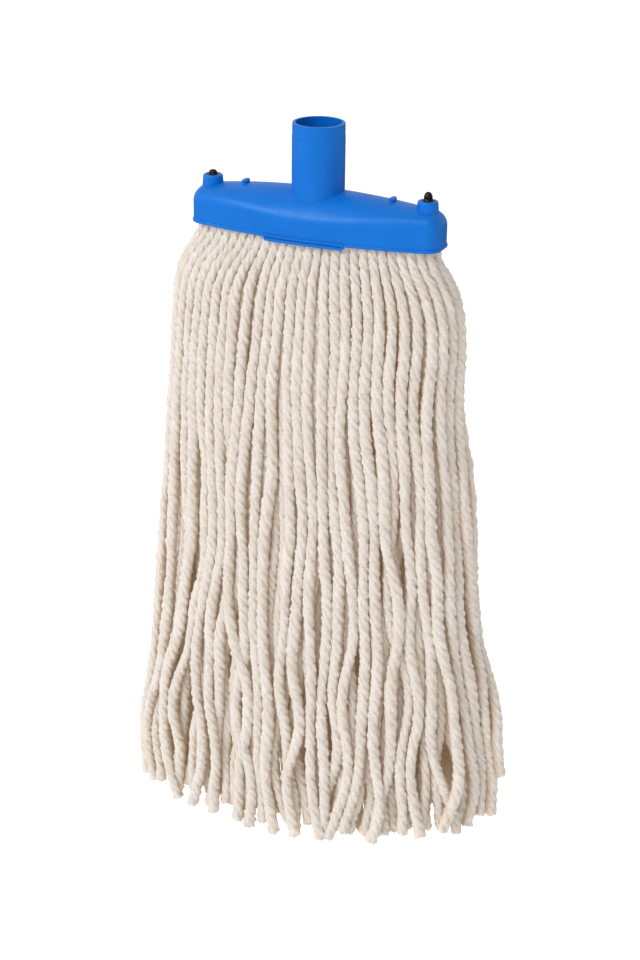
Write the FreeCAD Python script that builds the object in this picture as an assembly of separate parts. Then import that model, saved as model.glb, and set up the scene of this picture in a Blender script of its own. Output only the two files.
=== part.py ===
import FreeCAD, Part
import math
import os

# String mop head: a moulded socket housing, a clamp bar held by two snap pins, and a fringe of cotton yarn
# folded over the bar. Millimetres, +Z up. The origin is the centre of the handle socket's floor,
# X runs along the housing and -Y is the front, the side with the moulded lip.

V = FreeCAD.Vector
UP = V(0, 0, 1)

# Handle socket
BORE_RADIUS = 12.75
BORE_DEPTH = 46.0
SOCKET_RADIUS = 14.65
COLLAR_RADIUS = 14.5
COLLAR_HEIGHT = 7.0
SOCKET_FLOOR = 2.2
RIM_ROUND = 0.4
NIB_WIDTH = 1.1
NIB_THICKNESS = 0.6
NIB_HEIGHT = 0.45
NIB_ROOT = 0.3
NIB_SETBACK = 0.02
NIB_ANGLES = (-97.0, -74.0)

# Housing: a lens-shaped plan under an arched roof, with rounded eaves
HALF_LENGTH = 73.9
HALF_DEPTH = 20.4
END_HALF_DEPTH = 10.4
CORNER_RADIUS = 8.4
SKIRT_BOTTOM = -16.0
CROWN = 9.6
CROWN_DROP = 6.0
ROOF_RADIUS = 22.0
EAVES = -8.0
EAVES_RADIUS = 8.2
END_CREASE_RISE = 5.0
WALL = 2.2
ROOF_WALL = 2.4
BEAD_PROUD = 0.5
BEAD_HEIGHT = 1.8
BEAD_ROUND = 0.49

# Lip along the middle of the front edge, with a blind slot above it
LIP_HALF_LENGTH = 23.7
LIP_PROUD = 1.0
LIP_DROP = 1.9
LIP_ROOT = -1.2
LIP_TOP = -14.4
LIP_CORNER = 1.2
SLOT_HALF_LENGTH = 22.6
SLOT_BOTTOM = -16.3
SLOT_HEIGHT = 0.9
SLOT_DEPTH = 0.8

# Snap pin bosses: a round boss whose tail points to the socket
PIN_X = 64.4
BOSS_TOP = 10.0
BOSS_ROOT = -2.0
BOSS_RADII = (6.5, 5.5)
TAIL_RADII = (1.8, 1.5)
TAIL_OFFSETS = (5.6, 4.3)
BOSS_ROUND = 1.0
PIN_HOLE_RADIUS = 2.75
COUNTERBORE_RADIUS = 3.75
COUNTERBORE_DEPTH = 1.5

# Small moulded pips on the ridge
PIP_X = 44.0
PIP_RADIUS = 1.6
PIP_HALF_RUN = 1.7
PIP_TOP = 9.4
PIP_ROUND = 0.6

# Snap pins
PIN_RADIUS = 2.5
PIN_HEAD_RADIUS = 4.6
PIN_HEAD_HEIGHT = 1.6
HEAD_GAP = 0.05
SHOULDER_GAP = 0.1
TIP_SHOULDER_RADIUS = 3.6
TIP_SHOULDER_EDGE = 1.2
TIP_DOME_RADIUS = 2.4
WAIST_SHARE = 0.3
FLARE_RADIUS = 2.8
FLARE_SHARE = 0.45
DOME_SHOULDER_RADIUS = 1.73
DOME_SHOULDER_SHARE = 0.74
TIP_HEIGHTS = {"left": 4.0, "right": 6.3}

# Clamp bar
BAR_HALF_LENGTH = 69.0
BAR_HALF_WIDTH = 7.0
BAR_TOP = -8.2
BAR_THICKNESS = 3.8
BAR_ROUND = 1.0
BAR_RIB_HALF_LENGTH = 54.0
BAR_RIB_HALF_WIDTH = 1.5
BAR_RIB_HEIGHT = 1.8
TOOTH_PITCH = 8.0
TOOTH_COUNT = 15
TOOTH_WIDTH = 1.6
TOOTH_HEIGHT = 1.1
TOOTH_SETBACK = 1.5
BAR_HOLE_RADIUS = 2.7

# Yarn inside the housing
FOLD_CLEARANCE = 0.35
FOLD_BOTTOM = -16.9

# Hanging yarn: heights of the sections, and the size of the whole fringe at each
LEVELS = (-22.6, -50.0, -100.0, -200.0, -300.0, -378.0)
FRINGE_HALF_LENGTHS = (74.1, 85.5, 92.5, 102.0, 115.0, 121.0)
FRINGE_HALF_DEPTHS = (19.0, 29.0, 34.0, 38.0, 42.0, 45.0)
DEPTH_LOSS = 0.25
HINGE_Z = LEVELS[0]
SIDE_HINGE_Y = 14.0
SIDE_HINGE_RADIUS = 5.0
END_HINGE_X = 69.5
END_HINGE_RADIUS = 4.6
SIDE_REACHES = (64.3, 92.0)
INNER_DEPTHS = (9.0, 15.0)
END_DEPTHS = (8.0, 15.0, 19.0, 24.0, 29.0, 32.0)
END_TAPER = 0.45
BODY_GAP = 0.5
SIDE_GAP = 1.5
HANK_GAP = 0.4
CORE_TOP = -17.4
SIDE_HANKS = 6
CORE_HANKS = 3

# Overlaps and reaches that make clean cuts: SINK buries a joint, MARGIN passes a face, FAR passes everything
SINK = 1.0
MARGIN = 5.0
FAR = 200.0
FLAT = 0.01

os.makedirs("parts", exist_ok=True)


def export(name, shape):
    shape.exportStep("parts/" + name + ".step")
    solids = len(shape.Solids)
    print(name, "valid", shape.isValid(), "solids", solids, "volume", round(shape.Volume, 1))


def cylinder(radius, bottom, top, x=0.0, y=0.0):
    return Part.makeCylinder(radius, top - bottom, V(x, y, bottom), UP)


def box(x0, x1, y0, y1, z0, z1):
    return Part.makeBox(x1 - x0, y1 - y0, z1 - z0, V(x0, y0, z0))


# ---- Housing ----------------------------------------------------------------------------------

def side_arc(half_length, half_depth, end_half_depth):
    """Radius and centre of the arc through the middle of the front edge and its two ends."""
    sag = half_depth - end_half_depth
    radius = (half_length ** 2 + sag ** 2) / (2 * sag)
    return radius, radius - half_depth


def plan_wire(grow, z):
    """The lens-shaped plan at a height: two long arcs, two flat ends and four rounded corners."""
    half_length = HALF_LENGTH + grow
    half_depth = HALF_DEPTH + grow
    corner = CORNER_RADIUS + grow
    radius, centre_y = side_arc(half_length, half_depth, END_HALF_DEPTH + grow)
    corner_x = half_length - corner
    corner_y = centre_y - math.sqrt((radius - corner) ** 2 - corner_x ** 2)
    away = V(corner_x, corner_y - centre_y, 0).normalize()
    join = V(corner_x, corner_y, 0) + away * corner
    middle = (away + V(1, 0, 0)).normalize() * corner + V(corner_x, corner_y, 0)
    edges = []
    for sx, sy in ((1, 1), (-1, -1)):
        start = V(-sx * join.x, sy * join.y, z)
        crest = V(0, -sy * half_depth, z)
        end = V(sx * join.x, sy * join.y, z)
        edges.append(Part.Arc(start, crest, end).toShape())
        corner_end = V(sx * half_length, sy * corner_y, z)
        edges.append(Part.Arc(end, V(sx * middle.x, sy * middle.y, z), corner_end).toShape())
        far_end = V(sx * half_length, -sy * corner_y, z)
        edges.append(Part.LineSegment(corner_end, far_end).toShape())
        far_join = V(sx * join.x, -sy * join.y, z)
        far_middle = V(sx * middle.x, -sy * middle.y, z)
        edges.append(Part.Arc(far_end, far_middle, far_join).toShape())
    return Part.Wire(Part.__sortEdges__(edges))


def plan_prism(grow, bottom, top):
    return Part.Face(plan_wire(grow, bottom)).extrude(V(0, 0, top - bottom))


def is_crease(edge):
    """True for the edges between the walls and the roof."""
    reach = edge.BoundBox
    level = reach.XLength > FLAT or reach.ZLength < END_CREASE_RISE
    return reach.ZMin > EAVES and reach.YLength > FLAT and level


def housing_form(grow, roof_grow, bottom):
    """The housing's rounded block, grown or shrunk: the lens under an arched roof bent along the ridge."""
    ridge_radius = (HALF_LENGTH ** 2 + CROWN_DROP ** 2) / (2 * CROWN_DROP)
    roof = Part.makeTorus(ridge_radius - ROOF_RADIUS, ROOF_RADIUS + roof_grow,
                          V(0, 0, CROWN - ridge_radius), V(0, 1, 0))
    form = plan_prism(grow, bottom, CROWN + MARGIN).common(roof)
    return form.makeFillet(EAVES_RADIUS + grow, [e for e in form.Edges if is_crease(e)])


def teardrop(side, level, z):
    """A boss section: a circle about the pin with two straight sides that close on a small tail circle."""
    radius = BOSS_RADII[level]
    tail = TAIL_RADII[level]
    offset = TAIL_OFFSETS[level]
    lean = math.acos((radius - tail) / offset)
    tail_x = PIN_X - offset

    def at(centre_x, r, angle):
        return V(side * (centre_x + r * math.cos(angle)), r * math.sin(angle), z)

    open_angle = math.pi - lean
    a = at(PIN_X, radius, -open_angle)
    b = at(PIN_X, radius, open_angle)
    c = at(tail_x, tail, open_angle)
    d = at(tail_x, tail, -open_angle)
    return Part.Wire([
        Part.Arc(a, at(PIN_X, radius, 0), b).toShape(),
        Part.LineSegment(b, c).toShape(),
        Part.Arc(c, at(tail_x, tail, math.pi), d).toShape(),
        Part.LineSegment(d, a).toShape(),
    ])


def boss(side):
    shape = Part.makeLoft([teardrop(side, 0, BOSS_ROOT), teardrop(side, 1, BOSS_TOP)], True, True)
    rim = [e for e in shape.Edges if e.BoundBox.ZMin > BOSS_TOP - FLAT]
    return shape.makeFillet(BOSS_ROUND, rim)


def pip(side):
    x = side * PIP_X
    centre = box(x - PIP_RADIUS, x + PIP_RADIUS, -PIP_HALF_RUN, PIP_HALF_RUN, 0, PIP_TOP)
    front = cylinder(PIP_RADIUS, 0, PIP_TOP, x, -PIP_HALF_RUN)
    rear = cylinder(PIP_RADIUS, 0, PIP_TOP, x, PIP_HALF_RUN)
    shape = centre.fuse([front, rear]).removeSplitter()
    rim = [e for e in shape.Edges if e.BoundBox.ZMin > PIP_TOP - FLAT]
    return shape.makeFillet(PIP_ROUND, rim)


def socket_outside():
    step = BORE_DEPTH - COLLAR_HEIGHT
    tube = cylinder(SOCKET_RADIUS, -SOCKET_FLOOR, step)
    collar = cylinder(COLLAR_RADIUS, step - SINK, BORE_DEPTH)
    shape = tube.fuse(collar).removeSplitter()
    rim = [e for e in shape.Edges if e.BoundBox.ZMin > BORE_DEPTH - FLAT]
    return shape.makeFillet(RIM_ROUND, rim)


def rim_nib(angle):
    """A trace of flash left standing on the inner edge of the rim."""
    nib = box(BORE_RADIUS + NIB_SETBACK, BORE_RADIUS + NIB_THICKNESS, -NIB_WIDTH / 2, NIB_WIDTH / 2,
              BORE_DEPTH - NIB_ROOT, BORE_DEPTH + NIB_HEIGHT)
    nib.rotate(V(0, 0, 0), UP, angle)
    return nib


def front_window(half_length, bottom, top):
    """A block that takes in the front wall between two heights."""
    return box(-half_length, half_length, -HALF_DEPTH - MARGIN, 0, bottom, top)


def front_lip():
    bottom = SKIRT_BOTTOM - LIP_DROP
    window = front_window(LIP_HALF_LENGTH, bottom, LIP_TOP)
    corners = [e for e in window.Edges if e.BoundBox.YLength > MARGIN and e.BoundBox.ZMax < bottom + FLAT]
    lip = plan_prism(LIP_PROUD, bottom, LIP_TOP).common(window.makeFillet(LIP_CORNER, corners))
    return lip.cut(plan_prism(LIP_ROOT, bottom - MARGIN, LIP_TOP + MARGIN))


def lip_slot():
    top = SLOT_BOTTOM + SLOT_HEIGHT
    band = plan_prism(LIP_PROUD + SINK, SLOT_BOTTOM, top)
    band = band.cut(plan_prism(LIP_PROUD - SLOT_DEPTH, SLOT_BOTTOM - SINK, top + SINK))
    return band.common(front_window(SLOT_HALF_LENGTH, SLOT_BOTTOM, top))


def make_housing():
    shell = housing_form(0.0, 0.0, SKIRT_BOTTOM)
    bead = plan_prism(BEAD_PROUD, SKIRT_BOTTOM, SKIRT_BOTTOM + BEAD_HEIGHT)
    bead = bead.makeFillet(BEAD_ROUND, [e for e in bead.Edges if e.BoundBox.ZLength < FLAT])
    shell = shell.fuse([bead, socket_outside(), boss(1), boss(-1), pip(1), pip(-1)])
    cavity = housing_form(-WALL, -ROOF_WALL, SKIRT_BOTTOM - SINK)
    cavity = cavity.cut(cylinder(SOCKET_RADIUS, -SOCKET_FLOOR, BORE_DEPTH))
    shell = shell.cut(cavity)
    shell = shell.fuse(front_lip()).cut(lip_slot())
    shell = shell.cut(cylinder(BORE_RADIUS, 0.0, BORE_DEPTH + MARGIN))
    for side in (1, -1):
        shell = shell.cut(cylinder(PIN_HOLE_RADIUS, SKIRT_BOTTOM, BOSS_TOP, side * PIN_X))
        ledge = BOSS_TOP - COUNTERBORE_DEPTH
        shell = shell.cut(cylinder(COUNTERBORE_RADIUS, ledge, BOSS_TOP + MARGIN, side * PIN_X))
    shell = shell.fuse([rim_nib(angle) for angle in NIB_ANGLES])
    return shell.removeSplitter()


# ---- Clamp bar and snap pins ------------------------------------------------------------------

def make_clamp_bar():
    bottom = BAR_TOP - BAR_THICKNESS
    reach = BAR_HALF_LENGTH - BAR_HALF_WIDTH
    plate = box(-reach, reach, -BAR_HALF_WIDTH, BAR_HALF_WIDTH, bottom, BAR_TOP)
    for side in (1, -1):
        plate = plate.fuse(cylinder(BAR_HALF_WIDTH, bottom, BAR_TOP, side * reach))
    plate = plate.removeSplitter()
    plate = plate.makeFillet(BAR_ROUND, [e for e in plate.Edges if e.BoundBox.ZLength < FLAT])
    rib = box(-BAR_RIB_HALF_LENGTH, BAR_RIB_HALF_LENGTH, -BAR_RIB_HALF_WIDTH, BAR_RIB_HALF_WIDTH,
              bottom - BAR_RIB_HEIGHT, bottom + SINK)
    half_tooth = TOOTH_WIDTH / 2
    tooth_reach = BAR_HALF_WIDTH - TOOTH_SETBACK
    pieces = [rib]
    for i in range(TOOTH_COUNT):
        x = (i - (TOOTH_COUNT - 1) / 2) * TOOTH_PITCH
        pieces.append(box(x - half_tooth, x + half_tooth, -tooth_reach, tooth_reach,
                          BAR_TOP - SINK, BAR_TOP + TOOTH_HEIGHT))
    bar = plate.fuse(pieces)
    for side in (1, -1):
        bar = bar.cut(cylinder(BAR_HOLE_RADIUS, bottom - MARGIN, BAR_TOP + MARGIN, side * PIN_X))
    return bar.removeSplitter()


def make_snap_pin(side, tip_height):
    """A push-in pin turned from one outline: flat head, shank, and a flared tip with a domed end."""
    head_top = BAR_TOP - BAR_THICKNESS - HEAD_GAP
    head_bottom = head_top - PIN_HEAD_HEIGHT
    ledge = BOSS_TOP - COUNTERBORE_DEPTH + SHOULDER_GAP
    edge = ledge + TIP_SHOULDER_EDGE
    top = ledge + tip_height
    waist = edge + WAIST_SHARE * (top - edge)

    def p(r, z):
        return V(r, 0, z)

    flare = Part.BSplineCurve()
    flare.interpolate([p(TIP_SHOULDER_RADIUS, edge), p(FLARE_RADIUS, edge + FLARE_SHARE * (waist - edge)),
                       p(TIP_DOME_RADIUS, waist)])
    dome = Part.BSplineCurve()
    shoulder = p(DOME_SHOULDER_RADIUS, waist + DOME_SHOULDER_SHARE * (top - waist))
    dome.interpolate(Points=[p(TIP_DOME_RADIUS, waist), shoulder, p(0, top)],
                     InitialTangent=V(0, 0, 1), FinalTangent=V(-1, 0, 0))
    corners = [p(0, head_bottom), p(PIN_HEAD_RADIUS, head_bottom), p(PIN_HEAD_RADIUS, head_top),
               p(PIN_RADIUS, head_top), p(PIN_RADIUS, ledge), p(TIP_SHOULDER_RADIUS, ledge),
               p(TIP_SHOULDER_RADIUS, edge)]
    edges = [Part.LineSegment(a, b).toShape() for a, b in zip(corners, corners[1:])]
    edges += [flare.toShape(), dome.toShape(), Part.LineSegment(p(0, top), p(0, head_bottom)).toShape()]
    pin = Part.Face(Part.Wire(edges)).revolve(V(0, 0, 0), UP, 360)
    pin.translate(V(side * PIN_X, 0, 0))
    return pin


# ---- Yarn -------------------------------------------------------------------------------------

def make_yarn_fold():
    """The yarn that fills the housing and straddles the clamp bar."""
    gap = FOLD_CLEARANCE
    fold = housing_form(-WALL - gap, -ROOF_WALL - gap, FOLD_BOTTOM)
    fold = fold.cut(cylinder(SOCKET_RADIUS + gap, -SOCKET_FLOOR - gap, BORE_DEPTH))
    channel_top = BAR_TOP + TOOTH_HEIGHT + gap
    fold = fold.cut(box(-BAR_HALF_LENGTH - gap, BAR_HALF_LENGTH + gap,
                        -BAR_HALF_WIDTH - gap, BAR_HALF_WIDTH + gap, FOLD_BOTTOM - MARGIN, channel_top))
    for side in (1, -1):
        fold = fold.cut(cylinder(PIN_RADIUS + gap, FOLD_BOTTOM, BOSS_TOP, side * PIN_X))
    return fold


def along(pair, z):
    """A width that grows evenly from the hinge height to the ends of the strands."""
    share = (HINGE_Z - z) / (HINGE_Z - LEVELS[-1])
    return pair[0] + (pair[1] - pair[0]) * share


def side_depth(x, level):
    """How far out the front or rear of the fringe stands at x."""
    return FRINGE_HALF_DEPTHS[level] * (1 - DEPTH_LOSS * (x / FRINGE_HALF_LENGTHS[level]) ** 2)


def loft(sections):
    wires = [Part.makePolygon(points + [points[0]]) for points in sections]
    return Part.makeLoft(wires, True, True)


def upper_half(cap):
    """The part of a rounded hank top that stands above the hinge line."""
    return cap.common(box(-FAR, FAR, -FAR, FAR, HINGE_Z, HINGE_Z + FAR))


def side_hank(facing, index):
    """One hank of the front (facing -1) or rear (+1) yarn, rounded about its hinge line at the top."""
    sections = []
    for level, z in enumerate(LEVELS):
        reach = along(SIDE_REACHES, z) - SIDE_GAP
        x0 = reach * (2 * index / SIDE_HANKS - 1) + HANK_GAP / 2
        x1 = reach * (2 * (index + 1) / SIDE_HANKS - 1) - HANK_GAP / 2
        inner = facing * along(INNER_DEPTHS, z)
        outer = [facing * (side_depth(x, level) if level else FRINGE_HALF_DEPTHS[0]) for x in (x0, x1)]
        sections.append([V(x0, inner, z), V(x1, inner, z), V(x1, outer[1], z), V(x0, outer[0], z)])
    x0 = sections[0][0].x
    x1 = sections[0][1].x
    cap = Part.makeCylinder(SIDE_HINGE_RADIUS, x1 - x0, V(x0, facing * SIDE_HINGE_Y, HINGE_Z), V(1, 0, 0))
    return loft(sections).fuse(upper_half(cap)).removeSplitter()


def end_hank(side, facing):
    """The front (facing -1) or rear (+1) half of the yarn at one end of the housing."""
    sections = []
    for level, z in enumerate(LEVELS):
        inner = along(SIDE_REACHES, z) + BODY_GAP if level else END_HINGE_X - END_HINGE_RADIUS
        outer = FRINGE_HALF_LENGTHS[level]
        depth = END_DEPTHS[level]
        near = facing * HANK_GAP / 2
        outer_depth = depth * END_TAPER if level else depth
        sections.append([V(side * inner, near, z), V(side * outer, near, z),
                         V(side * outer, facing * outer_depth, z), V(side * inner, facing * depth, z)])
    cap = Part.makeCylinder(END_HINGE_RADIUS, END_DEPTHS[0] - HANK_GAP / 2,
                            V(side * END_HINGE_X, facing * HANK_GAP / 2, HINGE_Z), V(0, facing, 0))
    return loft(sections).fuse(upper_half(cap)).removeSplitter()


def core_hank(index):
    """One hank of the yarn that hangs straight down in the middle."""
    sections = []
    for z in (CORE_TOP,) + LEVELS:
        height = min(z, HINGE_Z)
        reach = along(SIDE_REACHES, height) - SIDE_GAP
        x0 = reach * (2 * index / CORE_HANKS - 1) + HANK_GAP / 2
        x1 = reach * (2 * (index + 1) / CORE_HANKS - 1) - HANK_GAP / 2
        depth = along(INNER_DEPTHS, height) - BODY_GAP
        sections.append([V(x0, -depth, z), V(x1, -depth, z), V(x1, depth, z), V(x0, depth, z)])
    return loft(sections)


export("head_housing", make_housing())
export("yarn_clamp_bar", make_clamp_bar())
export("left_snap_pin", make_snap_pin(-1, TIP_HEIGHTS["left"]))
export("right_snap_pin", make_snap_pin(1, TIP_HEIGHTS["right"]))
export("yarn_fold", make_yarn_fold())
for number in range(SIDE_HANKS):
    export("front_yarn_" + str(number + 1), side_hank(-1, number))
    export("rear_yarn_" + str(number + 1), side_hank(1, number))
for number in range(CORE_HANKS):
    export("core_yarn_" + str(number + 1), core_hank(number))
for end_name, end_side in (("left", -1), ("right", 1)):
    export(end_name + "_yarn_front", end_hank(end_side, -1))
    export(end_name + "_yarn_rear", end_hank(end_side, 1))
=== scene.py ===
import math

import bpy
import numpy as np
from mathutils import Matrix, Vector


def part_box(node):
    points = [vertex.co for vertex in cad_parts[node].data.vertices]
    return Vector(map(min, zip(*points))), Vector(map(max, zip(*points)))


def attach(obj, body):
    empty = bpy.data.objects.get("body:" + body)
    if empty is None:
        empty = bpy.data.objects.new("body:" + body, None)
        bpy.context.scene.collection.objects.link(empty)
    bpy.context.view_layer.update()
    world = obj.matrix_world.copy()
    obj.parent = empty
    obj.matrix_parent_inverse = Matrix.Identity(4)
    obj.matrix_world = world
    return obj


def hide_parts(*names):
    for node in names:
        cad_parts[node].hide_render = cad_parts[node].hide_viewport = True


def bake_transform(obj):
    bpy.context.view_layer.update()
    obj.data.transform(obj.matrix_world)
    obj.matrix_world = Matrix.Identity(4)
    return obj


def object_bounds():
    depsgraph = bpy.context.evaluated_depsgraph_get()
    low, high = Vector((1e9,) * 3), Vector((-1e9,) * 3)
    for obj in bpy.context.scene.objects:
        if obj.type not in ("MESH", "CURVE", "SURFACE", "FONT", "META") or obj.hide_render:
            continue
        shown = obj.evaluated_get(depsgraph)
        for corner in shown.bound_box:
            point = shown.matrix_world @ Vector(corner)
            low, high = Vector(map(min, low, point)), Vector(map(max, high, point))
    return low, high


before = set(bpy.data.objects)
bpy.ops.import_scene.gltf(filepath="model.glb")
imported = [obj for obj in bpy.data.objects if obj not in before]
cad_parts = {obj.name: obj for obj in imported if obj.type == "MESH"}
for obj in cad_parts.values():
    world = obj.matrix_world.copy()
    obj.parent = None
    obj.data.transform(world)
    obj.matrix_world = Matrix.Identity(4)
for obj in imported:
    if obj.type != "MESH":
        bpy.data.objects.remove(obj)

CAD_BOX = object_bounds()

# ---- Sizes, in metres -------------------------------------------------------------------------

HOUSING_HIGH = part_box("head_housing")[1]
FRINGE_LOW = CAD_BOX[0]
MOUTH_Z = -0.016
ROOT_Z = -0.0135

# Camera: placed about the middle of the housing's lower edge
CAMERA_DISTANCE = 1.100
CAMERA_AZIMUTH = 23.68
CAMERA_ELEVATION = 16.32
CAMERA_PITCH = 23.46
CAMERA_YAW = -0.15
CAMERA_ROLL = 0.65
LENS_MM = 74.0
SENSOR_MM = 36.0

# Surroundings: brightness by how far up a direction points, from 0 straight down to 1 straight up,
# and by how far to the right
SKY_BY_HEIGHT = ((0.40, 0.10), (0.485, 0.95), (0.95, 0.86))
SKY_BY_SIDE = ((0.15, 1.08), (0.85, 0.65))
SKY_STRENGTH = 0.73

# Suns: name, direction that the light comes from, strength and width in degrees
SUNS = (
    ("key", (-0.80, -1.30, 0.85), 1.20, 26),
    ("strip", (0.15, -0.85, 1.20), 0.44, 10),
)
SUN_TARGET = (0, 0, -0.16)
FLOOR_HALF = 60.0
FLOOR_DROP = 0.40
FLOOR_ALBEDO = 0.85
FLOOR_GLOW = 0.40

# Colour ramps of the materials: position and colour
BLUE_CLOUD = ((0.3, (0.0010, 0.148, 0.600)), (0.7, (0.0020, 0.166, 0.650)))
BLUE_ROUGHNESS = ((0.3, (0.30, 0.30, 0.30)), (0.7, (0.42, 0.42, 0.42)))
BLACK_CLOUD = ((0.4, (0.003, 0.0025, 0.002)), (0.7, (0.007, 0.006, 0.005)))
COTTON_STRANDS = ((0.30, (0.685, 0.643, 0.600)), (0.70, (0.762, 0.738, 0.715)))
COTTON_FIBRES = ((0.34, (0.94, 0.915, 0.885)), (0.60, (1.0, 1.0, 1.0)))
COTTON_SPECKLE = ((0.30, (0.86, 0.81, 0.755)), (0.52, (1.0, 1.0, 1.0)))
# Painted shade: darker, warmer cotton in the creases between plies
COTTON_CREASE_SHADE = ((0.50, (0.89, 0.84, 0.78)), (0.85, (1.0, 1.0, 1.0)))
# Painted shade: darker, warmer cotton where a strand faces into the bundle
COTTON_INWARD_SHADE = ((0.30, (1.0, 1.0, 1.0)), (0.60, (0.87, 0.79, 0.70)), (1.0, (0.80, 0.70, 0.60)))

# Yarn: a four-ply strand that swells as it leaves the grip of the housing
YARN = 0.0057
YARN_LOOSE = 0.0067
LOOSE_DEPTH = 0.08
TWIST_PITCH = 0.027
PLIES = 4
PLY_RADIUS = 1 / 3.45
FIBRES_PER_METRE = 2600
FIBRE_LENGTH = 0.0016
FIBRE_RADIUS = 0.00010
FUZZ = 0.00024
FIBRE_SHORTEST = 0.0004
FIBRE_ROOT = 0.00015
END_FIBRES = 90
END_FIBRE_LEAN = 1.6

# How strands vary: drift of the twist per step, range of pitch and of size, the share and pace of
# swelling along the strand and along one ply, and the share and cell of its lumps
TWIST_DRIFT = 0.055
PITCH_RANGE = (0.85, 1.2)
SIZE_RANGE = (0.95, 1.05)
SWELLS = ((0.05, 0.023), (0.035, 0.0087))
PLY_SWELL, PLY_SWELL_PACE = 0.05, 0.012
LUMPS = ((0.040, 5), (0.055, 2))

# The cut end: how much wider it gets, over what length, and how uneven the cut is
END_SWELL, END_SWELL_RUN = 0.10, 0.008
CUT_RANGE = (-0.0009, 0.0008)
CUT_DISH = 0.0004

# Half sizes of the bundle, from which a strand's outward side follows
BUNDLE_X, BUNDLE_Y = 0.10, 0.04

# Rings from this one inward get painted shade all round; the outer ones only at the back
FIRST_ALL_SHADED_RING = 2

DECLARED = 40
REAR_FLARE = 0.013
REAR_LIFT = 0.026
SEED = 2

# The fringe from the mouth down: height, reach to the left and to the right, half depth
PROFILE = (
    (-0.0135, 0.0713, 0.0713, 0.0180),
    (-0.0200, 0.0775, 0.0738, 0.0205),
    (-0.0310, 0.0822, 0.0798, 0.0255),
    (-0.0430, 0.0872, 0.0850, 0.0290),
    (-0.0660, 0.0905, 0.0890, 0.0318),
    (-0.0930, 0.0915, 0.0878, 0.0342),
    (-0.1150, 0.0932, 0.0896, 0.0350),
    (-0.1570, 0.0975, 0.0978, 0.0365),
    (-0.2240, 0.1018, 0.1022, 0.0395),
    (-0.2810, 0.1088, 0.1105, 0.0425),
    (-0.3410, 0.1180, 0.1180, 0.0450),
    (-0.4000, 0.1150, 0.1205, 0.0460),
)
MOUTH_HALF_LENGTH = HOUSING_HIGH.x - 0.0027
MOUTH_HALF_DEPTH = 0.0181
MOUTH_END_DEPTH = 0.0082
MOUTH_CORNER = 0.0062

# One row per ring of strands, from the outside in: count, its share of the fringe's size lower
# down, the step along a strand, the columns round it and its share of the loose fibres
RINGS = (
    (58, 1.00, 0.0010, 22, 1.0),
    (58, 0.91, 0.0011, 20, 0.8),
    (48, 0.75, 0.0018, 14, 0.3),
    (22, 0.42, 0.0028, 10, 0.0),
)
RING_GAP = 0.93
DEEPEST_INSET = 0.0145
STRAYS = 0.20

# Heights at which strands are placed: how many, how much denser at the top, how far past the foot
LEVELS = 30
LEVEL_POWER = 1.06
LEVELS_BELOW = 0.014

# Depths below the mouth: where strands have left the outline of the mouth, where they wander
# freely, where they stand back in full, and where the right rear starts to flare and how soon
MOUTH_FADE = 0.026
FREE_DEPTH = 0.31
FREE_POWER = 1.12
SETBACK_DEPTH = 0.14
FLARE_DEPTH = 0.24
FLARE_RUN = 0.04

# Settling: rounds, the share of a strand's width that counts as touching, the bias to the outer
# lane, how much a strand is smoothed and drawn home, and the outline that it is kept inside
RELAX_STEPS = 90
TOUCHING = 0.95
PUSH = 0.5
LANE_BIAS = 0.5
SMOOTHING = 0.14
DRAW_HOME = 0.02
OUTLINE_POWER = 2.3
PULL_IN = 0.6

# How strands wander sideways: for a whole side of the fringe, wavelength, waves round and size;
# for each strand alone, and for the strays, wavelength and size; and inward, wavelength and share
SHARED_WAVES = ((0.40, 4, 0.0045), (0.26, 7, 0.0034), (0.17, 9, 0.0022), (0.12, 6, 0.0015))
OWN_WAVES = ((0.30, 0.0036), (0.13, 0.0029), (0.080, 0.0017))
STRAY_WAVES = ((0.30, 0.0050), (0.15, 0.0025))
INWARD_WAVES = ((0.30, 0.022), (0.13, 0.016), (0.08, 0.010))
SETBACK = 0.0040

# Where strands end: x, and the height there
END_HEIGHTS = ((-0.12, -0.389), (-0.10, -0.383), (0.03, -0.379), (0.075, -0.368),
               (0.105, -0.364), (0.12, -0.357))
END_SPREAD = 0.0020

# How far inside the CAD box the middle of a grouped strand stays, at the sides and at its end
SIDE_MARGIN = 0.0042
END_MARGIN = 0.0025

# Strands that belong to a side: beyond this x, or this y, at the mouth, and this much more at the
# foot. The rest hang from the head.
SIDE_X, SIDE_X_MORE = 0.0643, 0.0277
FACE_Y, FACE_Y_MORE = 0.0090, 0.0060

# The sides of the fringe, with a joint for each; only the names are used, to find their CAD yarn
JOINTS = {
    "front_yarn": (0, -0.014),
    "rear_yarn": (0, 0.014),
    "left_yarn": (-0.0695, 0),
    "right_yarn": (0.0695, 0),
}

# Strands not made singly are joined in pieces, by x
GROUPS = 11
GROUP_SPAN = 0.26

# The fold inside the housing: how far each layer reaches to the front and rear and how far its top
# is above the bar, and the spacing of its strands
FOLD_LAYERS = ((0.0102, 0.0026), (0.0150, 0.0074))
FOLD_SPACING = 0.0053
FOLD_STRANDS = 12
SOCKET_CLEARANCE = 0.0185
UPPER_LAYER_DEPTH = 0.0155


# ---- Helpers ----------------------------------------------------------------------------------

def random_stream(number):
    return np.random.RandomState(SEED * 1000 + number)


def link(obj):
    bpy.context.scene.collection.objects.link(obj)
    return obj


# ---- Camera, light and floor ------------------------------------------------------------------

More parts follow.
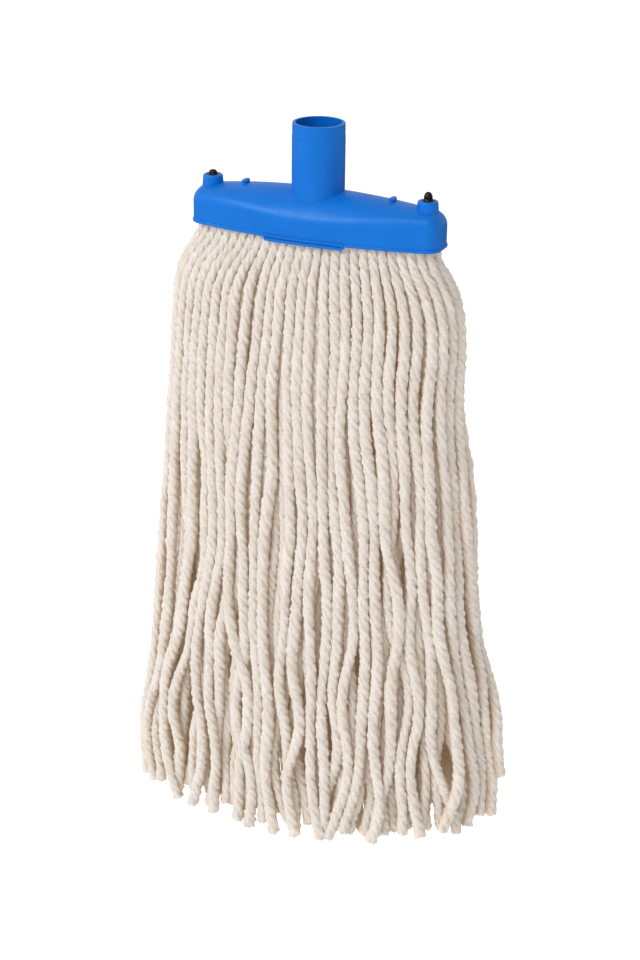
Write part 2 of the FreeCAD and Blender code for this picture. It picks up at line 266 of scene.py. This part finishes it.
def make_camera():
    azimuth = math.radians(CAMERA_AZIMUTH)
    elevation = math.radians(CAMERA_ELEVATION)
    pitch = math.radians(CAMERA_PITCH)
    heading = math.radians(CAMERA_AZIMUTH + CAMERA_YAW)
    roll = math.radians(CAMERA_ROLL)
    eye = Vector((math.sin(azimuth) * math.cos(elevation),
                  -math.cos(azimuth) * math.cos(elevation),
                  math.sin(elevation))) * CAMERA_DISTANCE + Vector((0, 0, MOUTH_Z))
    forward = Vector((-math.sin(heading) * math.cos(pitch), math.cos(heading) * math.cos(pitch),
                      -math.sin(pitch)))
    level = forward.cross(Vector((0, 0, 1))).normalized()
    upright = level.cross(forward)
    right = level * math.cos(roll) + upright * math.sin(roll)
    up = upright * math.cos(roll) - level * math.sin(roll)
    data = bpy.data.cameras.new("camera")
    data.lens = LENS_MM
    data.sensor_width = SENSOR_MM
    camera = link(bpy.data.objects.new("camera", data))
    camera.matrix_world = Matrix((
        (right.x, up.x, -forward.x, eye.x),
        (right.y, up.y, -forward.y, eye.y),
        (right.z, up.z, -forward.z, eye.z),
        (0, 0, 0, 1),
    ))
    bpy.context.scene.camera = camera


def sun_light(name, source, target, strength, spread):
    """A soft, even light from the direction of source; spread is its width in degrees."""
    data = bpy.data.lights.new(name, "SUN")
    data.energy = strength
    data.angle = math.radians(spread)
    lamp = link(bpy.data.objects.new(name, data))
    lamp.location = source
    lamp.rotation_mode = "QUATERNION"
    lamp.rotation_quaternion = (Vector(target) - Vector(source)).to_track_quat("-Z", "Y")


def make_studio():
    """White surroundings above a white floor. Gloss sees a dim lower half instead of the floor."""
    scene = bpy.context.scene
    scene.view_settings.view_transform = "Standard"
    world = bpy.data.worlds.new("studio")
    world.use_nodes = True
    tree = world.node_tree
    direction = node(tree, "ShaderNodeTexCoord").outputs["Generated"]
    direction_part = node(tree, "ShaderNodeSeparateXYZ")
    tree.links.new(direction, direction_part.inputs["Vector"])
    shade = ramp(tree, half_up(tree, direction_part.outputs["Z"]), greys(SKY_BY_HEIGHT))
    side = ramp(tree, half_up(tree, direction_part.outputs["X"]), greys(SKY_BY_SIDE))
    tree.links.new(multiply(tree, shade, side), tree.nodes["Background"].inputs["Color"])
    tree.nodes["Background"].inputs["Strength"].default_value = SKY_STRENGTH
    scene.world = world
    for name, source, strength, spread in SUNS:
        sun_light(name, source, SUN_TARGET, strength, spread)
    mesh = bpy.data.meshes.new("floor")
    half = FLOOR_HALF
    z = FRINGE_LOW.z - FLOOR_DROP
    mesh.from_pydata([(-half, -half, z), (half, -half, z), (half, half, z), (-half, half, z)], [],
                     [(0, 1, 2, 3)])
    floor = link(bpy.data.objects.new("floor", mesh))
    floor.visible_glossy = False
    material = bpy.data.materials.new("floor")
    material.use_nodes = True
    shader = material.node_tree.nodes["Principled BSDF"]
    shader.inputs["Base Color"].default_value = (FLOOR_ALBEDO, FLOOR_ALBEDO, FLOOR_ALBEDO, 1)
    shader.inputs["Roughness"].default_value = 1.0
    shader.inputs["Specular IOR Level"].default_value = 0.0
    shader.inputs["Emission Color"].default_value = (1, 1, 1, 1)
    shader.inputs["Emission Strength"].default_value = FLOOR_GLOW
    mesh.materials.append(material)


# ---- Materials --------------------------------------------------------------------------------

def new_material(name):
    material = bpy.data.materials.new(name)
    material.use_nodes = True
    tree = material.node_tree
    return material, tree, tree.nodes["Principled BSDF"]


def node(tree, kind, **settings):
    made = tree.nodes.new(kind)
    for key, value in settings.items():
        setattr(made, key, value)
    return made


def noise(tree, vector, scale, detail=3.0, roughness=0.5):
    made = node(tree, "ShaderNodeTexNoise")
    made.inputs["Scale"].default_value = scale
    made.inputs["Detail"].default_value = detail
    made.inputs["Roughness"].default_value = roughness
    tree.links.new(vector, made.inputs["Vector"])
    return made.outputs["Fac"]


def stretched(tree, vector, scale, turn):
    made = node(tree, "ShaderNodeMapping")
    made.inputs["Rotation"].default_value = (0.0, 0.0, math.radians(turn))
    made.inputs["Scale"].default_value = scale
    tree.links.new(vector, made.inputs["Vector"])
    return made.outputs["Vector"]


def greys(stops):
    """Colour stops for a ramp from pairs of position and brightness."""
    return [(position, (tone, tone, tone)) for position, tone in stops]


def half_up(tree, value):
    """Bring a value between -1 and 1 to between 0 and 1."""
    made = node(tree, "ShaderNodeMath", operation="MULTIPLY_ADD")
    tree.links.new(value, made.inputs[0])
    made.inputs[1].default_value = 0.5
    made.inputs[2].default_value = 0.5
    return made.outputs["Value"]


def multiply(tree, first, second):
    made = node(tree, "ShaderNodeMix", data_type="RGBA", blend_type="MULTIPLY")
    made.inputs["Factor"].default_value = 1.0
    tree.links.new(first, made.inputs["A"])
    tree.links.new(second, made.inputs["B"])
    return made.outputs["Result"]


def ramp(tree, value, stops):
    made = node(tree, "ShaderNodeValToRGB")
    elements = made.color_ramp.elements
    elements[0].position, elements[0].color = stops[0][0], (*stops[0][1], 1)
    elements[1].position, elements[1].color = stops[-1][0], (*stops[-1][1], 1)
    for position, colour in stops[1:-1]:
        elements.new(position).color = (*colour, 1)
    tree.links.new(value, made.inputs["Fac"])
    return made.outputs["Color"]


def bump(tree, shader, height, strength, distance):
    made = node(tree, "ShaderNodeBump")
    made.inputs["Strength"].default_value = strength
    made.inputs["Distance"].default_value = distance
    tree.links.new(height, made.inputs["Height"])
    tree.links.new(made.outputs["Normal"], shader.inputs["Normal"])


def blue_plastic():
    """Moulded plastic, a little cloudy, with a fine grain."""
    material, tree, shader = new_material("blue_plastic")
    place = node(tree, "ShaderNodeTexCoord").outputs["Object"]
    cloud = noise(tree, place, 60.0, 4.0, 0.6)
    tree.links.new(ramp(tree, cloud, BLUE_CLOUD), shader.inputs["Base Color"])
    patches = noise(tree, place, 900.0, 2.0)
    tree.links.new(ramp(tree, patches, BLUE_ROUGHNESS), shader.inputs["Roughness"])
    shader.inputs["Specular IOR Level"].default_value = 0.42
    shader.inputs["Specular Tint"].default_value = (0.50, 0.82, 1.0, 1.0)
    bump(tree, shader, noise(tree, place, 700.0, 3.0, 0.6), 0.45, 0.0003)
    return material


def black_nylon():
    """Glossy black nylon."""
    material, tree, shader = new_material("black_nylon")
    place = node(tree, "ShaderNodeTexCoord").outputs["Object"]
    cloud = noise(tree, place, 300.0)
    tree.links.new(ramp(tree, cloud, BLACK_CLOUD), shader.inputs["Base Color"])
    shader.inputs["Roughness"].default_value = 0.18
    shader.inputs["Specular IOR Level"].default_value = 0.30
    bump(tree, shader, noise(tree, place, 500.0), 0.1, 0.0002)
    return material


def cotton():
    """Unbleached cotton: fibres aslant, strands differ a little, with painted shade and glow."""
    material, tree, shader = new_material("cotton_yarn")
    uv = node(tree, "ShaderNodeUVMap", uv_map="strand").outputs["UV"]
    slant = stretched(tree, uv, (30.0, 10.0, 1.0), -20)
    fibres = noise(tree, slant, 1.0, 4.0, 0.65)
    speckle = noise(tree, stretched(tree, uv, (17.0, 22.0, 1.0), 0), 1.0, 3.0, 0.7)
    patches = noise(tree, stretched(tree, uv, (2.2, 3.5, 1.0), 0), 1.0, 2.0, 0.5)
    tone = ramp(tree, noise(tree, uv, 0.9, 2.0), COTTON_STRANDS)
    tone = multiply(tree, tone, ramp(tree, fibres, COTTON_FIBRES))
    tone = multiply(tree, tone, ramp(tree, speckle, COTTON_SPECKLE))
    # Painted shade: darker, warmer cotton in the creases between plies, broken up by patches
    lobe = node(tree, "ShaderNodeAttribute", attribute_name="lobe").outputs["Fac"]
    depth = node(tree, "ShaderNodeMath", operation="MULTIPLY_ADD")
    tree.links.new(patches, depth.inputs[0])
    depth.inputs[1].default_value = 1.2
    tree.links.new(lobe, depth.inputs[2])
    tone = multiply(tree, tone, ramp(tree, depth.outputs["Value"], COTTON_CREASE_SHADE))
    # Painted shade: darker, warmer cotton on a strand's side facing into the bundle, all round deep
    # in
    painted_shade = node(tree, "ShaderNodeAttribute", attribute_name="painted_shade").outputs["Fac"]
    tone = multiply(tree, tone, ramp(tree, painted_shade, COTTON_INWARD_SHADE))
    tree.links.new(tone, shader.inputs["Base Color"])
    shader.inputs["Roughness"].default_value = 0.95
    shader.inputs["Specular IOR Level"].default_value = 0.08
    shader.inputs["Subsurface Weight"].default_value = 0.40
    shader.inputs["Subsurface Radius"].default_value = (1.0, 0.70, 0.45)
    shader.inputs["Subsurface Scale"].default_value = 0.004
    # Painted light: a faint warm glow over all the cotton that lifts its shade
    shader.inputs["Emission Color"].default_value = (1.0, 0.68, 0.38, 1.0)
    shader.inputs["Emission Strength"].default_value = 0.065
    bump(tree, shader, speckle, 0.7, 0.0006)
    return material


# ---- Strand routes ----------------------------------------------------------------------------

def mouth_outline(inset):
    """The inside of the housing's mouth, drawn in by inset: a lens with blunt, rounded ends."""
    angle = np.linspace(0, 2 * math.pi, 400, endpoint=False)
    x = np.cos(angle) * (MOUTH_HALF_LENGTH - inset)
    reach = MOUTH_HALF_LENGTH - inset
    depth = MOUTH_HALF_DEPTH - (MOUTH_HALF_DEPTH - MOUTH_END_DEPTH) * (x / reach) ** 2 - inset
    corner = np.clip((np.abs(x) - (reach - MOUTH_CORNER)) / MOUTH_CORNER, 0, 1)
    y = np.sign(np.sin(angle)) * np.maximum(depth, 0.0006) * np.sqrt(1 - corner ** 2)
    return np.stack([x, y], 1)


def fringe_outline(left, right, half_depth, inset):
    """A rounded-off oblong about the fringe at one height, drawn in by inset."""
    angle = np.linspace(0, 2 * math.pi, 400, endpoint=False)
    c, s = np.cos(angle), np.sin(angle)
    reach = np.where(c > 0, right, left) - inset
    x = reach * np.sign(c) * np.abs(c) ** 0.9
    y = (half_depth - inset) * np.sign(s) * np.abs(s) ** 0.8
    return np.stack([x, y], 1)


def loop_at(points, shares):
    """Points on a closed outline, each at its share of the way round, and the way's length."""
    closed = np.vstack([points, points[:1]])
    run = np.concatenate([[0], np.cumsum(np.linalg.norm(np.diff(closed, axis=0), axis=1))])
    at = (shares % 1.0) * run[-1]
    found = np.stack([np.interp(at, run, closed[:, 0]), np.interp(at, run, closed[:, 1])], 1)
    return found, run[-1]


def drift(rng, count, depth, waves):
    """A smooth wander for each strand as it goes down: waves are pairs of wavelength and size."""
    total = np.zeros((len(depth), count))
    for wavelength, size in waves:
        phase = rng.uniform(0, 2 * math.pi, (1, count))
        stretch = rng.uniform(0.75, 1.3, (1, count))
        angle = 2 * math.pi * depth[:, None] / (wavelength * stretch) + phase
        total += size * (np.sin(angle) - np.sin(phase))
    return total


def yarn_size(heights):
    """The strand's diameter at each height."""
    share = np.clip((MOUTH_Z - heights) / LOOSE_DEPTH, 0, 1)
    return YARN + (YARN_LOOSE - YARN) * share * share * (3 - 2 * share)


def shared_drift(rng, base, depth, waves):
    """A smooth wander that neighbouring strands share."""
    total = np.zeros((len(depth), len(base)))
    for wavelength, shade_masks, size in waves:
        turns = rng.choice((-1, 1)) * shade_masks * base[None, :] + depth[:, None] / wavelength
        total += size * np.sin(2 * math.pi * turns + rng.uniform(0, 2 * math.pi))
    return total


def strand_positions():
    """Heights, settled positions by level and strand, and every strand's ring."""
    rng = random_stream(1)
    lowest = FRINGE_LOW.z - LEVELS_BELOW
    heights = ROOT_Z + (lowest - ROOT_Z) * np.linspace(0, 1, LEVELS) ** LEVEL_POWER
    table = np.array(PROFILE)
    left, right, deep = (np.interp(-heights, -table[:, 0], table[:, i]) for i in (1, 2, 3))
    depth = MOUTH_Z - heights
    loose = np.clip(depth / FREE_DEPTH, 0, 1)[:, None] ** FREE_POWER
    size = yarn_size(heights)
    columns, rings, lanes = [], [], []
    for ring, (count, share, *_) in enumerate(RINGS):
        base = (np.arange(count) + 0.5 * (ring % 2)) / count
        mouth, _ = loop_at(mouth_outline(min(YARN * (0.5 + RING_GAP * ring), DEEPEST_INSET)), base)
        stray = (rng.uniform(0, 1, count) < STRAYS) * (ring == 0)
        aside = shared_drift(rng, base, depth, SHARED_WAVES) + drift(rng, count, depth, OWN_WAVES)
        aside = (aside + stray[None, :] * drift(rng, count, depth, STRAY_WAVES) * loose) * loose
        inward = np.abs(drift(rng, count, depth, INWARD_WAVES)) * loose * (1 - stray)[None, :]
        setback = rng.uniform(0, SETBACK, count) * (ring < 2) * (1 - stray)
        path = np.zeros((LEVELS, count, 2))
        for level in range(LEVELS):
            fade = np.clip((MOUTH_Z + 0.001 - heights[level]) / MOUTH_FADE, 0, 1)
            fade = fade * fade * (3 - 2 * fade)
            outline = fringe_outline(left[level], right[level], deep[level], size[level] / 2)
            _, around = loop_at(outline, base)
            low, _ = loop_at(outline, base + aside[level] / around)
            back = low / np.array([right[level], deep[level]]) ** 2
            fully = np.clip(depth[level] / SETBACK_DEPTH, 0, 1)
            back *= (setback * fully / np.linalg.norm(back, axis=1))[:, None]
            low = low * (share - inward[level])[:, None] - back
            path[level] = mouth * (1 - fade) + low * fade
        columns.append(path)
        rings += [ring] * count
        lanes.append(ring + rng.uniform(0, 0.9, count) - 1.5 * stray)
    home = np.concatenate(columns, 1)
    flare = np.clip((depth - FLARE_DEPTH) / FLARE_RUN, 0, 1)[:, None]
    rear = np.clip(home[..., 1] / deep[:, None] + 0.3, 0, 1)
    end = np.clip(home[..., 0] / right[:, None] - 0.40, 0, 1) / 0.60
    home[..., 0] += REAR_FLARE * flare * rear * end
    right = right + REAR_FLARE * flare[:, 0]
    place = settle(home, size, left, right, deep, np.concatenate(lanes))
    return heights, place, np.array(rings)


def settle(home, size, left, right, deep, lanes):
    """Push overlapping strands apart level by level. Where two cross, the one in the outer lane
    passes in front."""
    place = home.copy()
    reach = TOUCHING * size[:, None]
    inner = np.sign(lanes[:, None] - lanes[None, :])[None, :, :, None]
    for _ in range(RELAX_STEPS):
        outward = place / np.stack([right, deep], 1)[:, None, :] ** 2
        outward /= np.linalg.norm(outward, axis=2, keepdims=True) + 1e-9
        gap = place[:, :, None, :] - place[:, None, :, :]
        apart = np.linalg.norm(gap, axis=3)
        np.einsum("lii->li", apart)[:] = 1.0
        away = gap - LANE_BIAS * size[:, None, None, None] * inner * outward[:, :, None, :]
        overlap = np.clip(reach[:, :, None] - apart, 0, None)
        away *= (overlap / (np.linalg.norm(away, axis=3) + 1e-9))[..., None]
        place[2:] += PUSH * away.sum(2)[2:]
        moved = place - home
        place[2:-1] += SMOOTHING * (moved[1:-2] + moved[3:] - 2 * moved[2:-1])
        place[2:] -= DRAW_HOME * moved[2:]
        reach_x = np.where(place[..., 0] > 0, right[:, None], left[:, None]) - size[:, None] / 2
        reach_y = (deep - size / 2)[:, None]
        outside = (np.abs(place[..., 0] / reach_x) ** OUTLINE_POWER
                   + np.abs(place[..., 1] / reach_y) ** OUTLINE_POWER)
        excess = (1 - np.maximum(outside, 1.0) ** (-1 / OUTLINE_POWER))[..., None]
        excess = excess * (place * outward).sum(2, keepdims=True)
        place[2:] -= PULL_IN * (excess * outward)[2:]
    return place


# ---- Strand meshes ----------------------------------------------------------------------------

def smooth_route(points, step):
    """Points every step along the smooth line that the control points make, and its length."""
    curve = bpy.data.curves.new("route", "CURVE")
    curve.dimensions = "3D"
    curve.resolution_u = 8
    spline = curve.splines.new("NURBS")
    spline.points.add(len(points) - 1)
    spline.points.foreach_set("co", np.hstack([points, np.ones((len(points), 1))]).ravel())
    spline.order_u = 3
    spline.use_endpoint_u = True
    carrier = bpy.data.objects.new("route", curve)
    mesh = bpy.data.meshes.new_from_object(carrier)
    line = np.zeros(len(mesh.vertices) * 3)
    mesh.vertices.foreach_get("co", line)
    line = line.reshape(-1, 3)
    bpy.data.objects.remove(carrier)
    bpy.data.curves.remove(curve)
    bpy.data.meshes.remove(mesh)
    run = np.concatenate([[0], np.cumsum(np.linalg.norm(np.diff(line, axis=0), axis=1))])
    at = np.linspace(0, run[-1], int(run[-1] / step))
    return np.stack([np.interp(at, run, line[:, i]) for i in range(3)], 1), run[-1]


def ply_outline(angle):
    """Outline of the plies pressed together, as a share of the strand's width, and how far each
    point of it is out of a crease."""
    local = (angle + math.pi / PLIES) % (2 * math.pi / PLIES) - math.pi / PLIES
    ply = PLY_RADIUS
    offset = 0.5 - ply
    radius = offset * np.cos(local) + np.sqrt(ply ** 2 - (offset * np.sin(local)) ** 2)
    low = radius.min()
    return radius, (radius - low) / (0.5 - low)


def soft_noise(rng, count, columns, cell):
    """Smooth random values over the strand's surface, with bumps about cell vertices across."""
    rows, around = count // cell + 2, max(columns // cell, 3)
    coarse = rng.normal(0, 1, (rows, around))
    coarse = np.hstack([coarse, coarse[:, :1]])
    at_row, at_column = np.arange(count) / cell, np.arange(columns) * around / columns
    i, j = at_row.astype(int), at_column.astype(int)
    fi, fj = (at_row - i)[:, None], (at_column - j)[None, :]
    upper = coarse[i][:, j] * (1 - fj) + coarse[i][:, j + 1] * fj
    lower = coarse[i + 1][:, j] * (1 - fj) + coarse[i + 1][:, j + 1] * fj
    return upper * (1 - fi) + lower * fi


def strand_mesh(line, length, columns, rng, fibres=0, shade_all_round=False):
    """A twisted strand laid along a line: vertices, side faces, end and fibre faces, the texture
    coordinates of each, and for every vertex how far it is out of the creases between plies and how
    far it faces into the bundle."""
    count = len(line)
    tangent = np.gradient(line, axis=0)
    tangent /= np.linalg.norm(tangent, axis=1)[:, None]
    side = np.cross(tangent, (0.03, 1.0, 0.02))
    side /= np.linalg.norm(side, axis=1)[:, None]
    front = np.cross(tangent, side)
    run = np.linspace(0, length, count)
    angle = 2 * math.pi * np.arange(columns) / columns
    outline, lobe = ply_outline(angle)
    slack = np.cumsum(rng.normal(0, TWIST_DRIFT, count))
    pitch = TWIST_PITCH * rng.uniform(*PITCH_RANGE)
    turn = rng.uniform(0, 2 * math.pi) - 2 * math.pi * run / pitch + slack
    slow, quick = (share * np.sin(run / pace + rng.uniform(0, 6.3)) for share, pace in SWELLS)
    swell = 1 + slow + quick
    swell *= rng.uniform(*SIZE_RANGE)
    swell *= 1 + END_SWELL * np.clip(1 - (length - run) / END_SWELL_RUN, 0, 1) ** 2
    ply_swell = 1 + PLY_SWELL * np.sin(run[:, None] / PLY_SWELL_PACE + rng.uniform(0, 6.3, PLIES))
    ply_swell = ply_swell[:, np.arange(columns) * PLIES // columns]
    theta = angle[None, :] + turn[:, None]
    width = (yarn_size(line[:, 2]) * swell)[:, None]
    broad, fine = (share * soft_noise(rng, count, columns, cell) for share, cell in LUMPS)
    lumps = 1 + broad + fine
    radius = outline[None, :] * width * ply_swell * lumps + rng.normal(0, FUZZ, (count, columns))
    spoke = (np.cos(theta)[..., None] * side[:, None, :]
             + np.sin(theta)[..., None] * front[:, None, :])
    ring = line[:, None, :] + radius[..., None] * spoke
    ring[-1] += tangent[-1] * rng.uniform(*CUT_RANGE, (columns, 1))
    outward = line * (1 / BUNDLE_X ** 2, 1 / BUNDLE_Y ** 2, 0)
    outward /= np.linalg.norm(outward, axis=1)[:, None] + 1e-9
    facing = ((ring - line[:, None, :]) * outward[:, None, :]).sum(2) / radius
    # Painted shade: a strand darkens on its side facing into the bundle, all round in the inner
    # rings
    painted_shade = np.ones(facing.shape) if shade_all_round else 0.5 - 0.5 * facing
    vertices = np.vstack([ring.reshape(-1, 3), line[:1], line[-1:] - tangent[-1:] * CUT_DISH])
    shade_masks = np.stack([np.tile(lobe, count), painted_shade.ravel()], 1)
    shade_masks = np.vstack([shade_masks, [(0.5, 0.5), (0.5, 0.5)]])
    row = np.arange(count - 1)[:, None] * columns
    col = np.arange(columns)[None, :]
    nxt = (col + 1) % columns
    quads = np.stack([row + col, row + nxt, row + columns + nxt, row + columns + col], -1)
    quads = quads.reshape(-1, 4)
    seed = rng.uniform(0, 50)
    u = np.stack([col / columns, (col + 1) / columns, (col + 1) / columns, col / columns], -1)
    u = np.broadcast_to(u, (count - 1, columns, 4))
    v0 = (run[:-1] / TWIST_PITCH)[:, None, None] + seed
    v1 = (run[1:] / TWIST_PITCH)[:, None, None] + seed
    v = np.concatenate([np.repeat(v0, 2, 2), np.repeat(v1, 2, 2)], 2)
    v = np.broadcast_to(v, (count - 1, columns, 4))
    uv = np.stack([u, v], -1).reshape(-1, 2)
    top, end = len(vertices) - 2, len(vertices) - 1
    last = (count - 1) * columns
    caps = [(top, (k + 1) % columns, k) for k in range(columns)]
    caps += [(end, last + k, last + (k + 1) % columns) for k in range(columns)]
    cap_uv = np.array([(0.5, seed + 0.01 * k) for k in range(len(caps) * 3)])
    if fibres:
        number = int(length * fibres)
        spikes, triangles, hosts = fibre_ends(line, tangent, ring, number, rng)
        caps = np.vstack([caps, triangles + len(vertices)])
        cap_uv = np.vstack([cap_uv, np.tile([(0.5, seed)], (triangles.size, 1))])
        vertices = np.vstack([vertices, spikes])
        around = np.repeat(painted_shade.ravel()[hosts], 4)
        shade_masks = np.vstack([shade_masks, np.column_stack([np.ones(len(spikes)), around])])
    return vertices, quads, np.array(caps), uv, cap_uv, shade_masks


def fibre_ends(line, tangent, ring, number, rng):
    """Loose fibre ends that stand off the strand, and a tuft at its cut end: thin closed spikes
    rooted inside it, their faces, and the vertex of the strand that each grows from."""
    count, columns = ring.shape[:2]
    i = np.concatenate([rng.randint(1, count - 1, number), np.full(END_FIBRES, count - 1)])
    number += END_FIBRES
    j = rng.randint(0, columns, number)
    root = ring[i, j] + tangent[i] * rng.uniform(-0.0006, 0.0006, (number, 1))
    within = np.where(i == count - 1, rng.uniform(0.1, 1.0, number), 1.0)[:, None]
    root = line[i] + (root - line[i]) * within
    out = ring[i, j] - line[i]
    out /= np.linalg.norm(out, axis=1)[:, None]
    across = np.cross(out, tangent[i])
    along = rng.uniform(-1.0, 1.0, (number, 1)) + END_FIBRE_LEAN * (i == count - 1)[:, None]
    lean = out * rng.uniform(0.25, 1.0, (number, 1)) + tangent[i] * along
    lean = lean + across * rng.uniform(-0.8, 0.8, (number, 1))
    lean /= np.linalg.norm(lean, axis=1)[:, None]
    tip = root + lean * rng.uniform(FIBRE_SHORTEST, FIBRE_LENGTH, (number, 1))
    u = np.cross(lean, across + 0.3 * tangent[i])
    u /= np.linalg.norm(u, axis=1)[:, None]
    w = np.cross(lean, u)
    base = root - out * FIBRE_ROOT
    corners = [base + FIBRE_RADIUS * (math.cos(turn) * u + math.sin(turn) * w)
               for turn in (0, 2.094, 4.189)]
    spikes = np.stack(corners + [tip], 1).reshape(-1, 3)
    first = 4 * np.arange(number)[:, None]
    faces = np.array([(0, 1, 3), (1, 2, 3), (2, 0, 3), (0, 2, 1)])
    return spikes, (first[:, :, None] + faces[None]).reshape(-1, 3), i * columns + j


def build_object(title, parts, material):
    """One mesh object from several strands."""
    shift = np.cumsum([0] + [len(part[0]) for part in parts])
    vertices = np.vstack([part[0] for part in parts])
    quads = np.vstack([part[1] + base for part, base in zip(parts, shift)])
    caps = np.vstack([part[2] + base for part, base in zip(parts, shift)])
    mesh = bpy.data.meshes.new(title)
    mesh.vertices.add(len(vertices))
    mesh.vertices.foreach_set("co", vertices.ravel())
    corners = np.concatenate([quads.ravel(), caps.ravel()])
    mesh.loops.add(len(corners))
    mesh.loops.foreach_set("vertex_index", corners.astype(np.int32))
    sizes = np.concatenate([np.full(len(quads), 4), np.full(len(caps), 3)])
    starts = np.concatenate([[0], np.cumsum(sizes)[:-1]])
    mesh.polygons.add(len(sizes))
    mesh.polygons.foreach_set("loop_start", starts.astype(np.int32))
    mesh.polygons.foreach_set("use_smooth", np.ones(len(sizes), bool))
    layer = mesh.uv_layers.new(name="strand")
    uv = np.vstack([part[3] for part in parts] + [part[4] for part in parts])
    layer.data.foreach_set("uv", uv.astype(np.float32).ravel())
    # Masks of the painted shade: out of the creases, and facing into the bundle
    for column, name in enumerate(("lobe", "painted_shade")):
        attribute = mesh.attributes.new(name, "FLOAT", "POINT")
        values = np.concatenate([part[5][:, column] for part in parts])
        attribute.data.foreach_set("value", values.astype(np.float32))
    mesh.update(calc_edges=True)
    mesh.validate()
    mesh.materials.append(material)
    return link(bpy.data.objects.new(title, mesh))


# ---- Yarn -------------------------------------------------------------------------------------

def strand_body(place, heights):
    """The body that a strand belongs to, from where it hangs half way down."""
    half = len(heights) // 2
    x, y = place[half]
    share = (MOUTH_Z - heights[half]) / (MOUTH_Z - FRINGE_LOW.z)
    if abs(x) > SIDE_X + SIDE_X_MORE * share:
        return "right_yarn" if x > 0 else "left_yarn"
    if abs(y) > FACE_Y + FACE_Y_MORE * share:
        return "rear_yarn" if y > 0 else "front_yarn"
    return "head"


def strand_end(x, y):
    """The height at which a strand that hangs at x, y ends; those at the right rear are shorter."""
    ends = np.array(END_HEIGHTS)
    lift = REAR_LIFT * np.clip((x - 0.097) / 0.015, 0, 1) * np.clip(y / 0.015, 0, 1)
    return np.interp(x, ends[:, 0], ends[:, 1]) + lift


def finish_piece(obj, body, nodes):
    """Attach a head piece to the head, else bake its placement; hide the CAD nodes it stands for.
    """
    if body == "head":
        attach(obj, "head")
    else:
        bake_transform(obj)
    if nodes:
        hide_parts(*nodes)


def hanging_nodes(body):
    """The CAD yarn that a body's strands stand for."""
    prefix = "core_yarn" if body == "head" else body
    return [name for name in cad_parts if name.startswith(prefix)]


def make_yarn(material):
    """All hanging strands: the outer ring's front ones singly, the others joined in groups."""
    heights, place, rings = strand_positions()
    rng = random_stream(2)
    outermost = np.flatnonzero(rings == 0)
    declared = set(outermost[np.argsort(place[LEVELS // 2, outermost, 1])][:DECLARED])
    groups = {}
    singles = []
    for i in range(place.shape[1]):
        body = strand_body(place[:, i], heights)
        end = strand_end(*place[-1, i]) + rng.normal(0, END_SPREAD)
        points = np.column_stack([place[:, i], heights])
        if i not in declared:
            end = max(end, FRINGE_LOW.z + END_MARGIN)
            points[:, :2] = np.clip(points[:, :2], np.array(CAD_BOX[0])[:2] + SIDE_MARGIN,
                                    np.array(CAD_BOX[1])[:2] - SIDE_MARGIN)
        keep = heights > end + 0.006
        x, y = (np.interp(-end, -heights, points[:, axis]) for axis in (0, 1))
        _, _, step, columns, fuzz = RINGS[rings[i]]
        line, length = smooth_route(np.vstack([points[keep], [(x, y, end)]]), step)
        # Inner rings get painted shade all round
        part = strand_mesh(line, length, columns, rng, FIBRES_PER_METRE * fuzz,
                           rings[i] >= FIRST_ALL_SHADED_RING)
        if i in declared:
            singles.append((body, part, line, length))
        else:
            x = place[LEVELS // 2, i, 0]
            group = int((x + GROUP_SPAN / 2) / GROUP_SPAN * GROUPS)
            groups.setdefault((body, group), []).append(part)
    waiting = {body: hanging_nodes(body) for body in ("head", *JOINTS)}
    for (body, number), parts in sorted(groups.items()):
        obj = build_object("strands_" + body + "_" + str(number), parts, material)
        finish_piece(obj, body, waiting.pop(body, None))
    for number, (body, part, line, length) in enumerate(singles):
        obj = build_object("strand_" + str(number + 1), [part], material)
        finish_piece(obj, body, waiting.pop(body, None))


def make_fold(material):
    """The yarn's middle inside the housing: strands doubled over the clamp bar in two layers."""
    rng = random_stream(3)
    bar_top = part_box("yarn_clamp_bar")[1]
    parts = []
    taper = MOUTH_HALF_DEPTH - MOUTH_END_DEPTH
    for layer, (spread, rise) in enumerate(FOLD_LAYERS):
        for x in np.arange(-FOLD_STRANDS, FOLD_STRANDS + 1) * FOLD_SPACING:
            depth = MOUTH_HALF_DEPTH - taper * (x / MOUTH_HALF_LENGTH) ** 2
            reach = min(spread, depth - YARN / 2)
            if layer == 1 and (abs(x) < SOCKET_CLEARANCE or depth < UPPER_LAYER_DEPTH):
                continue
            top = bar_top.z + rise
            knee = ROOT_Z + 0.35 * (top - ROOT_Z)
            route = [(x, -reach, ROOT_Z), (x, -reach, knee), (x, -0.75 * reach, top),
                     (x, 0.75 * reach, top), (x, reach, knee), (x, reach, ROOT_Z)]
            line, length = smooth_route(np.array(route), 0.0020)
            parts.append(strand_mesh(line, length, 12, rng))
    obj = build_object("yarn_fold_strands", parts, material)
    finish_piece(obj, "head", ["yarn_fold"])


make_camera()
make_studio()
BLUE = blue_plastic()
BLACK = black_nylon()
COTTON = cotton()
for name, material in (("head_housing", BLUE), ("yarn_clamp_bar", BLACK), ("left_snap_pin", BLACK),
                       ("right_snap_pin", BLACK)):
    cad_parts[name].data.materials.clear()
    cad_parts[name].data.materials.append(material)
make_yarn(COTTON)
make_fold(COTTON)
